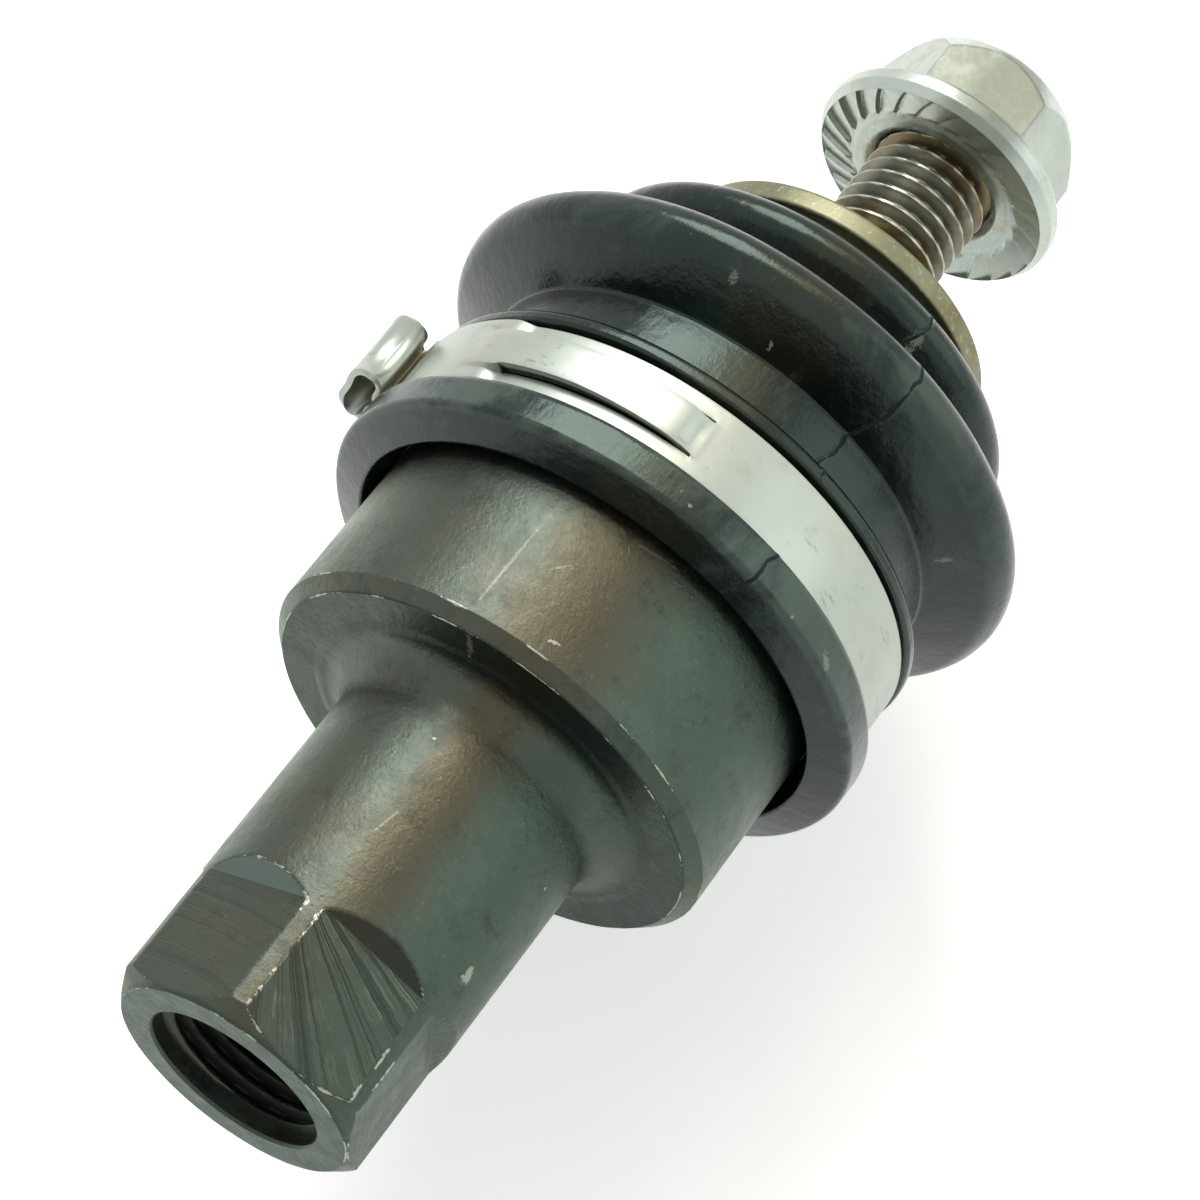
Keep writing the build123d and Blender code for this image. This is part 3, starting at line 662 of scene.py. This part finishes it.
# Radii of the collar: bead in the groove, bore over the socket, seat under the band, lip, and rib behind it
BEAD_RADIUS, COLLAR_BORE, BAND_SEAT, BOOT_LIP_RADIUS, RIB_RADIUS = 20.6, 21.4, 23.95, 26.3, 24.9
BAND_END = BAND_START + BAND_WIDTH
BOOT_WALL, BOOT_TOP_RADIUS, BOOT_MOUTH = 1.5, 11.0, 7.9

# The circles that the skin bends round: (x, r, radius), with a radius below 0 in the valleys
BENDS = [
    (16.7, 22.3, 0), (20.8, 22.7, -0.4), (BOOT_CREST_X, 26.19, 2.3),
    (31.1, 20.3, -0.8), (34.7, 19.7, 2.0), (38.6, BOOT_TOP_RADIUS, 0)]


def wrap(bends, inset, step=0.4):
    """Points of a skin that winds round (x, r, bend) circles, moved inwards by the inset."""
    reach = [bend - inset for *_, bend in bends]
    centre = [np.array(b[:2]) for b in bends]
    lines = []
    for i in range(len(bends) - 1):
        across = centre[i + 1] - centre[i]
        heading = atan2(across[1], across[0]) + np.arcsin((reach[i + 1] - reach[i]) / np.linalg.norm(across))
        side = np.array((sin(heading), -cos(heading)))
        lines.append((centre[i] - side * reach[i], centre[i + 1] - side * reach[i + 1]))
    points = [lines[0][0]]
    for i, (start, end) in enumerate(lines):
        count = max(1, int(np.linalg.norm(end - start) / step))
        points += [start + (end - start) * k / count for k in range(1, count + 1)]
        if i + 1 < len(lines):
            a, b = end - centre[i + 1], lines[i + 1][0] - centre[i + 1]
            turn = atan2(a[0] * b[1] - a[1] * b[0], a @ b)
            fine = radians(2.5) if bends[i + 1][0] == BOOT_CREST_X else radians(8)
            count = max(4, int(abs(turn * reach[i + 1]) / step), int(abs(turn) / fine))
            for k in range(1, count + 1):
                points.append(centre[i + 1] + turned_by(a, turn * k / count))
    return np.array(points)


def cut_at(points, x):
    """The two parts of an outline before and after its first crossing of x, both with the crossing point."""
    i = int(np.argmax(points[:, 0] > x))
    share = (x - points[i - 1, 0]) / (points[i, 0] - points[i - 1, 0])
    at = points[i - 1] + (points[i] - points[i - 1]) * share
    return np.vstack([points[:i], [at]]), np.vstack([[at], points[i:]])


# The two sides of the mould's parting line, where the mesh's points lie closer
PARTING = [radians(128), radians(308)]
beside = np.concatenate([p + np.radians(np.arange(-4.2, 4.3, 0.2)) for p in PARTING])
coarse = np.array([a for a in around(300) if min(abs(angle_from(a, p)) for p in PARTING) > radians(4.5)])
boot_turns = np.sort(np.concatenate([coarse, beside]))


def boot_shape(x, r, a):
    """Slow unevenness of moulded rubber, and a ragged flash along the parting line."""
    outside = (r > 22.0) | (x > 28)
    seat = (x > 6.0) & (x < 14.6) & (r < 25)
    free = outside & ~seat
    wave = 0.1 * np.sin(3 * a + x * 0.3) + 0.06 * np.sin(7 * a - x * 0.5)
    flash = np.zeros_like(x)
    for p in PARTING:
        path = 1.1 * np.sin(x * 0.45 + 1) + 0.45 * np.sin(x * 1.6) + 0.12 * np.sin(x * 4.3)
        away = np.degrees(angle_from(a, p)) + path
        flash += np.exp(-((away / 0.52) ** 2)) * np.clip(0.9 + 0.25 * np.sin(x * 1.9 + 2), 0, 1)
    below_crest = np.clip((28.4 - r) / 0.3, 0, 1)
    r = r + np.where(free, (wave * 0.5 + 0.12 * flash) * below_crest, 0)
    # Dust and painted sheen on the large fold's crest and on the lip
    crest = np.exp(-(((x - BOOT_CREST_X + 1) / 1.6) ** 2)) * (r > 27) * 0.7
    dust_and_sheen = np.where(outside & (x < BAND_START) & (r > 25.6), 1.0, crest)
    return x, r, a, {"seam": np.where(free, flash, 0), "dust_and_sheen": dust_and_sheen}


outer_skin, inner_skin = wrap(BENDS, 0), wrap(BENDS, BOOT_WALL)
outer_low, outer_top = cut_at(outer_skin, BOOT_CREST_X)
inner_low, inner_top = cut_at(inner_skin, BOOT_CREST_X)
collar_line = rounded([
    (*inner_low[0], 0), (RIM_X - 0.8, COLLAR_BORE, 0), (GROOVE_END - 0.1, COLLAR_BORE, 0),
    (GROOVE_END - 0.1, BEAD_RADIUS, 0), (GROOVE_START + 0.1, BEAD_RADIUS, 0),
    (GROOVE_START + 0.1, COLLAR_BORE + 0.1, 0), (LIP_X + 2, COLLAR_BORE + 0.1, 0.5),
    (LIP_X - 1.3, 22.7, 0.25), (LIP_X, BOOT_LIP_RADIUS, 0.6), (BAND_START - 0.6, BOOT_LIP_RADIUS, 0.7),
    (BAND_START - 0.3, BAND_SEAT, 0.2), (BAND_END + 0.3, BAND_SEAT, 0.2),
    (BAND_END + 0.6, RIB_RADIUS, 0.35), (BAND_END + 1.8, RIB_RADIUS, 0.7), (*outer_low[0], 0)], 0.45)
low_line = np.vstack([outer_low, inner_low[::-1], collar_line[1:-1]])
mouth = [(40.6, BOOT_TOP_RADIUS), (40.6, 8.6), (40.0, 8.6), (40.0, BOOT_MOUTH), (36.9, BOOT_MOUTH)]
top_line = np.vstack([outer_top, mouth, inner_top[::-1]])
boot_low = lathe("boot_collar_and_fold", low_line, boot_turns, boot_shape, closed=True)
boot_top = lathe("boot_top_fold", top_line, boot_turns, boot_shape, closed=True)
for piece in (boot_low, boot_top):
    piece.data.materials.append(rubber)
    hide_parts("dust_boot")
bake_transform(boot_low)
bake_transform(boot_top)


# Clamp: one strip that starts as a tongue, goes once round, rises over the tongue and is pinched to an ear

EAR_ANGLE = 20.0
HALF_BAND, HALF_TONGUE, HALF_BRIDGE = BAND_WIDTH / 2, 1.5, 1.85

# Radii of the middle of the strip's thickness: low once round, high over the tongue, and at the bridge's top
MID_LOW = BAND_RADIUS + BAND_THICK / 2
MID_HIGH = MID_LOW + BAND_THICK + 0.05
MID_TOP = MID_HIGH + 0.4

# Depth of the dimple in the bridge and where it lies, and the slits beside the bridge: width, start and end
DIMPLE, DIMPLE_START, DIMPLE_END = 0.16, 81.5, 84.5
SLIT, SLIT_START, SLIT_END = 0.22, 40.5, 85.5
SLIT_COLUMNS = (3, 8)


def smooth_path(points, count):
    """A curve through the points, evenly divided."""
    p = np.array(points, float)
    p = np.vstack([2 * p[0] - p[1], p, 2 * p[-1] - p[-2]])
    out = []
    for i in range(1, len(p) - 2):
        for k in range(count):
            t = k / count
            out.append(0.5 * ((2 * p[i]) + (p[i + 1] - p[i - 1]) * t
                              + (2 * p[i - 1] - 5 * p[i] + 4 * p[i + 1] - p[i + 2]) * t * t
                              + (3 * p[i] - p[i - 1] - 3 * p[i + 1] + p[i + 2]) * t**3))
    out.append(p[-2])
    return np.array(out)


# Ear in (across, out) millimetres at the ear's angle, from its foot on the raised side to the other foot
EAR_TOP, EAR_PINCH = 28.9, 0.36
ear_half = [
    (3.6, MID_HIGH - 0.05), (1.7, MID_HIGH + 0.1), (0.6, 25.35), (0.42, 25.9), (1.1, 26.3), (2.9, 26.4),
    (3.9, 27.2), (3.65, 28.3), (2.3, 28.95)]
ear_path = smooth_path(ear_half + [(0, EAR_TOP)] + [(-t, r) for t, r in reversed(ear_half)], 6)


def smooth(t):
    """A soft step from 0 to 1."""
    t = min(max(t, 0), 1)
    return t * t * (3 - 2 * t)


def strip_rows():
    """Rows along the strip: (angle in degrees, radius at the edges, radius at the middle, half width)."""
    rows = []

    # The tongue, the shoulders where it widens, and the plain band once round
    for a in np.arange(80.0, 36.0, -1.5):
        rows.append((a + 360, MID_LOW + 0.05, MID_LOW + 0.05, HALF_TONGUE if a < 78 else 1.2))
    for a, half in ((35.5, HALF_TONGUE), (35.0, 2.4), (34.5, HALF_BAND)):
        rows.append((a + 360, MID_LOW, MID_LOW, half))
    for a in np.arange(33.0, -270.0, -3.0):
        rows.append((a + 360, MID_LOW, MID_LOW, HALF_BAND))

    # The bridge in the middle rises first, and the rails beside it rise where the tongue widens
    for a in np.arange(88.0, 4.0, -1.0):
        rail = MID_LOW + (MID_HIGH - MID_LOW) * smooth((41 - a) / 4.5)
        middle = MID_LOW + (MID_HIGH - MID_LOW) * smooth((87 - a) / 9)
        middle += (MID_TOP - MID_HIGH) * smooth((82 - a) / 26) * smooth((a - 28) / 9)
        rows.append((a, rail, middle, HALF_BAND))
    return rows


def clamp_strip():
    """Points and faces of the strip's middle sheet, and how strongly each point is tinted by bending."""
    inner, outer = HALF_BRIDGE / HALF_BAND, (HALF_BRIDGE + SLIT) / HALF_BAND
    across = [-1, -0.9, -0.75, -outer, -inner, -0.3, 0, 0.3, inner, outer, 0.75, 0.9, 1]
    mid_x = BAND_START + BAND_WIDTH / 2
    grid, angles, bends = [], [], []
    for angle, rail, middle, half in strip_rows():
        a = radians(angle + EAR_ANGLE)
        row = []
        dimple = DIMPLE if DIMPLE_START < angle < DIMPLE_END else 0
        for w in across:
            r = middle - dimple * (abs(w) < 0.31) if abs(w) * HALF_BAND <= HALF_BRIDGE + NEAR else rail
            row.append((mid_x + w * half, r * cos(a), r * sin(a)))
        grid.append(row)
        angles.append(angle)
        bends.append(0)
    ear = radians(EAR_ANGLE)
    for t, r in ear_path:
        row = []
        for w in across:
            z = t * (1 - EAR_PINCH * (1 - w * w) * np.clip((r - 26.2) / 1.2, 0, 1))
            row.append((mid_x + w * HALF_BAND, r * cos(ear) - z * sin(ear), r * sin(ear) + z * cos(ear)))
        grid.append(row)
        angles.append(0)
        bends.append(np.exp(-((r - 25.9) / 0.5) ** 2) * 0.8)
    for angle in np.arange(-9.0, -26.0, -1.5):
        a = radians(angle + EAR_ANGLE)
        half = HALF_BAND if angle > -24 else 3.2
        grid.append([(mid_x + w * half, MID_HIGH * cos(a), MID_HIGH * sin(a)) for w in across])
        angles.append(angle)
        bends.append(0)
    n = len(across)
    verts = np.array(grid).reshape(-1, 3) * MM
    faces = []
    for i in range(len(grid) - 1):
        open_slit = all(SLIT_START < angles[k] < SLIT_END for k in (i, i + 1))
        for k in range(n - 1):
            if open_slit and k in SLIT_COLUMNS:
                continue
            faces.append((i * n + k, i * n + k + 1, (i + 1) * n + k + 1, (i + 1) * n + k))
    return verts, faces, np.repeat(bends, n)


clamp_verts, clamp_faces, clamp_bends = clamp_strip()
clamp_mesh = bpy.data.meshes.new("clamp_band")
clamp_mesh.from_pydata([tuple(v) for v in clamp_verts], [], clamp_faces)
put_mark(clamp_mesh, "bend", clamp_bends)
clamp_mesh.shade_smooth()
clamp = bpy.data.objects.new("clamp_band", clamp_mesh)
bpy.context.scene.collection.objects.link(clamp)
thick = clamp.modifiers.new("thick", "SOLIDIFY")
thick.thickness, thick.offset = BAND_THICK * MM, 0
soft = clamp.modifiers.new("soft", "BEVEL")
soft.width, soft.segments, soft.limit_method, soft.angle_limit = 0.09 * MM, 2, "ANGLE", radians(50)
finish_piece(clamp, strip, "socket", "boot_clamp")


# Stud with a cut thread, washer and nut

# Chamfer of the stud's tip, radius of the groove for the boot's mouth, and bores of the washer and the nut
TIP_CHAMFER, MOUTH_GROOVE, BOLT_HOLE, WASHER_MOUTH = 1.3, 7.8, 6.05, 6.35


def stud_shape(x, r, a):
    """Cuts the thread with its chamfered tip, and the walls of the key socket."""
    cut = (r > THREAD_RADIUS - NEAR) & (r < THREAD_RADIUS + NEAR) & (x > WASHER_X)
    run = np.clip((TIP_X - 0.1 - x) / TIP_CHAMFER, 0, 1)
    turned = thread(THREAD_RADIUS, THREAD_MINOR, THREAD_PITCH, x, a)
    r = np.where(cut, np.minimum(turned, THREAD_RADIUS - TIP_CHAMFER * (1 - run)), r)
    key = (x > TIP_X - KEY_DEPTH - NEAR) & (r < KEY_RADIUS + NEAR) & (r > KEY_RADIUS - 0.3)
    r = np.where(key, hexagon(KEY_RADIUS, a, 0), r)
    return x, r, a, {}


neck_x = sqrt(BALL_RADIUS**2 - NECK_RADIUS**2)
ball_turn = np.linspace(0, pi - np.arcsin(NECK_RADIUS / BALL_RADIUS), 40)
ball = np.array([(-BALL_RADIUS * cos(t), BALL_RADIUS * sin(t)) for t in ball_turn])
ball[0, 1] = 0
neck_line = rounded([
    (neck_x, NECK_RADIUS, 0), (25, NECK_RADIUS, 3), (30, COLLAR_RADIUS, 1), (36.9, COLLAR_RADIUS, 0),
    (36.9, MOUTH_GROOVE, 0), (40.1, MOUTH_GROOVE, 0), (40.1, COLLAR_RADIUS, 0.1),
    (WASHER_X, COLLAR_RADIUS, 0.1), (WASHER_X, THREAD_RADIUS, 0)], 0.6)
thread_line = np.array([(x, THREAD_RADIUS) for x in np.arange(WASHER_X + 0.01, TIP_X, 0.11)])
tip_line = np.array([
    (TIP_X, THREAD_RADIUS - TIP_CHAMFER), (TIP_X, 3.9), (TIP_X - 0.3, KEY_RADIUS + 0.005),
    (TIP_X - KEY_DEPTH, KEY_RADIUS), (TIP_X - KEY_DEPTH - 0.7, 0)])
stud_line = np.vstack([ball, neck_line[1:], thread_line, tip_line])
stud = lathe("threaded_stud", stud_line, around(240), stud_shape)
finish_piece(stud, threaded, "stud", "ball_stud")

washer_line = rounded([
    (WASHER_X + 0.3, BOLT_HOLE, 0), (WASHER_X, WASHER_MOUTH, 0), (WASHER_X, WASHER_RADIUS, 0.35),
    (WASHER_END, WASHER_RADIUS, 0.45), (WASHER_END, WASHER_MOUTH, 0.1), (WASHER_END - 0.3, BOLT_HOLE, 0),
    (WASHER_X + 0.3, BOLT_HOLE, 0)], 0.5)[:-1]
washer = lathe("thick_washer", washer_line, around(256), closed=True)
finish_piece(washer, gold, "stud", "seat_washer")


def nut_shape(x, r, a):
    """Cuts the skewed ratchet teeth in the flange's face and the hexagon above its cone."""
    behind = x > NUT_X + 0.001
    face = (x < NUT_X + 0.001) & (r > FLANGE_RING - NEAR)
    skew = radians(TOOTH_SKEW) * np.clip(r - FLANGE_RING, 0, FLANGE_FACE - FLANGE_RING)
    whole_skew = radians(TOOTH_SKEW) * (FLANGE_FACE - FLANGE_RING)
    skew = np.where(behind & (r > FLANGE_RING), whole_skew, skew)
    a = a + np.where(r > FLANGE_RING - NEAR, skew, 0)
    phase = ((a - skew) * TEETH / (2 * pi)) % 1
    tooth = np.where(phase < TOOTH_RISE, phase / TOOTH_RISE, (1 - phase) / (1 - TOOTH_RISE)) ** 1.2
    depth = TOOTH_DEPTH * tooth * np.clip((r - FLANGE_RING) / 0.7, 0, 1)
    groove = np.exp(-(((r - FLANGE_RING - 0.35) / 0.3) ** 2)) * 0.22
    x = x + np.where(x < NUT_X + 0.001, np.maximum(depth * face, groove), 0)
    near_hex = (x > NUT_X + 2.4) & (r > 8.3)
    wall = hexagon(HEX_DISTANCE, a, HEX_TURN + 30)
    cone = FLANGE_RADIUS - (x - NUT_X - FLANGE_THICK) * (FLANGE_RADIUS - HEX_DISTANCE) / 1.7
    r = np.where(near_hex, np.maximum(np.minimum(r, wall), np.minimum(cone, r)), r)
    # Duller hexagon faces, with painted shade strongest on the face toward the front
    hex_face = near_hex & (np.abs(r - wall) < 0.02) & (x < HEX_TOP + 2)
    front = np.abs(angle_from(a, radians(HEX_TURN + 90))) < pi / 6
    return x, r, a, {"dull_and_shade": np.where(hex_face, np.where(front, 0.85, 0.3), 0)}


PLAY = 0.03
hex_corner = HEX_DISTANCE / cos(pi / 6) + 0.02
insert_low, insert_high = INSERT_START - PLAY, INSERT_END + PLAY
nut_line = rounded([
    (insert_low, BOLT_HOLE, 0), (NUT_X + 0.85, BOLT_HOLE, 0.2), (NUT_X, 6.9, 0.45),
    (NUT_X, FLANGE_RING, 0), (NUT_X, FLANGE_FACE, 0.1), (NUT_X + 0.9, FLANGE_RADIUS, 0.4),
    (NUT_X + FLANGE_THICK, FLANGE_RADIUS, 0.5), (NUT_X + 3.2, hex_corner, 0.1), (HEX_TOP, hex_corner, 0.5),
    (NUT_TOP - 1.2, 8.6, 1.2), (NUT_TOP, 7.2, 0.7), (NUT_TOP, 6.5, 0.2), (insert_high, 6.3, 0),
    (insert_high, INSERT_RADIUS + PLAY, 0), (insert_low, INSERT_RADIUS + PLAY, 0),
    (insert_low, BOLT_HOLE, 0)], 0.2)[:-1]
nut = lathe("serrated_nut", nut_line, around(TEETH * 18), nut_shape, closed=True)
finish_piece(nut, zinc, "nut", "flange_nut")

# CAD nodes that are shown as they are
kept_nodes = {
    "lower_seat": acetal, "upper_seat": acetal, "nut_insert": nylon,
    "closing_ring": strip, "boot_small_ring": strip}
for node, material in kept_nodes.items():
    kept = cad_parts[node]
    kept.data.materials.clear()
    kept.data.materials.append(material)


# Camera at the photograph's angle, floor and light

flat = Vector((cos(VIEW_AZIMUTH), sin(VIEW_AZIMUTH), 0))
right = Vector((sin(VIEW_AZIMUTH), -cos(VIEW_AZIMUTH), 0))
ahead = flat * cos(VIEW_ELEVATION) - Vector((0, 0, sin(VIEW_ELEVATION)))
up = flat * sin(VIEW_ELEVATION) + Vector((0, 0, cos(VIEW_ELEVATION)))
camera = bpy.data.objects.new("camera", bpy.data.cameras.new("camera"))
camera.data.lens, camera.data.sensor_width = LENS, SENSOR
camera.data.clip_start, camera.data.clip_end = 0.01, 10
eye = (-right * VIEW_RIGHT + up * VIEW_DOWN - ahead * VIEW_DISTANCE) * MM
camera.matrix_world = Matrix.Translation(eye) @ Matrix((right, up, -ahead)).transposed().to_4x4()
bpy.context.scene.collection.objects.link(camera)
bpy.context.scene.camera = camera

# Height and reach of the floor in metres, its glow, and the sky's level near the horizon and overhead
FLOOR_Z, FLOOR_REACH, FLOOR_GLOW = -0.037, 2, 0.5
SKY_LOW, SKY_HIGH = 0.38, 0.44


def background_rays(nodes, links):
    """1 for the rays that show the background: to the camera, in gloss and through glass."""
    path = nodes.new("ShaderNodeLightPath")
    total = path.outputs["Is Camera Ray"]
    for kind in ("Is Glossy Ray", "Is Transmission Ray"):
        both = nodes.new("ShaderNodeMath")
        both.operation = "MAXIMUM"
        links.new(total, both.inputs[0])
        links.new(path.outputs[kind], both.inputs[1])
        total = both.outputs[0]
    return total


# The floor glows where a ray shows it, so that it meets the white background and still keeps the shadow
corners = [(x * FLOOR_REACH, y * FLOOR_REACH, FLOOR_Z) for x, y in ((-1, -1), (1, -1), (1, 1), (-1, 1))]
floor = mesh_object("floor", corners, [(0, 1, 2, 3)])
pale = bpy.data.materials.new("pale_floor")
pale.use_nodes = True
nodes, links = pale.node_tree.nodes, pale.node_tree.links
shader = nodes["Principled BSDF"]
shader.inputs["Base Color"].default_value = (0.9, 0.9, 0.9, 1)
shader.inputs["Roughness"].default_value = 0.9
shader.inputs["Emission Color"].default_value = (1, 1, 1, 1)
share = nodes.new("ShaderNodeMath")
share.operation = "MULTIPLY"
share.inputs[1].default_value = FLOOR_GLOW
links.new(background_rays(nodes, links), share.inputs[0])
links.new(share.outputs[0], shader.inputs["Emission Strength"])
floor.data.materials.append(pale)

# The sky gives soft light at a low level, and is plain white where a ray shows it
world = bpy.data.worlds.new("studio")
world.use_nodes = True
nodes, links = world.node_tree.nodes, world.node_tree.links
background = nodes["Background"]
direction = nodes.new("ShaderNodeTexCoord")
split = nodes.new("ShaderNodeSeparateXYZ")
links.new(direction.outputs["Generated"], split.inputs[0])
height = nodes.new("ShaderNodeMapRange")
height.inputs["From Min"].default_value, height.inputs["From Max"].default_value = -0.1, 0.9
height.inputs["To Min"].default_value, height.inputs["To Max"].default_value = SKY_LOW, SKY_HIGH
links.new(split.outputs["Z"], height.inputs["Value"])
level = nodes.new("ShaderNodeMix")
links.new(background_rays(nodes, links), level.inputs[0])
links.new(height.outputs[0], level.inputs[2])
level.inputs[3].default_value = 1.0
links.new(level.outputs[0], background.inputs["Strength"])
background.inputs["Color"].default_value = (1, 1, 1, 1)
bpy.context.scene.world = world


def softbox(name, direction, distance, width, depth, level, colour=(1, 1, 1)):
    """An area light that faces the ball's centre and shows at the given level in a mirror."""
    lamp = bpy.data.lights.new(name, "AREA")
    lamp.shape, lamp.size, lamp.size_y, lamp.color = "RECTANGLE", width, depth, colour
    lamp.energy = level * pi * width * depth
    obj = bpy.data.objects.new(name, lamp)
    bpy.context.scene.collection.objects.link(obj)
    obj.location = Vector(direction).normalized() * distance
    obj.rotation_mode = "QUATERNION"
    obj.rotation_quaternion = obj.location.to_track_quat("Z", "Y")


softbox("key", (0.454, 0.34, 0.824), 0.5, 0.26, 0.3, 6.8)
softbox("warm_edge", (0.454, -0.08, 0.885), 0.5, 0.13, 0.3, 2.0, (1, 0.78, 0.5))
softbox("cool_side", (0.454, -0.8, 0.42), 0.6, 0.46, 0.44, 0.9, (0.9, 1, 0.95))

bpy.context.scene.view_settings.view_transform = "Standard"
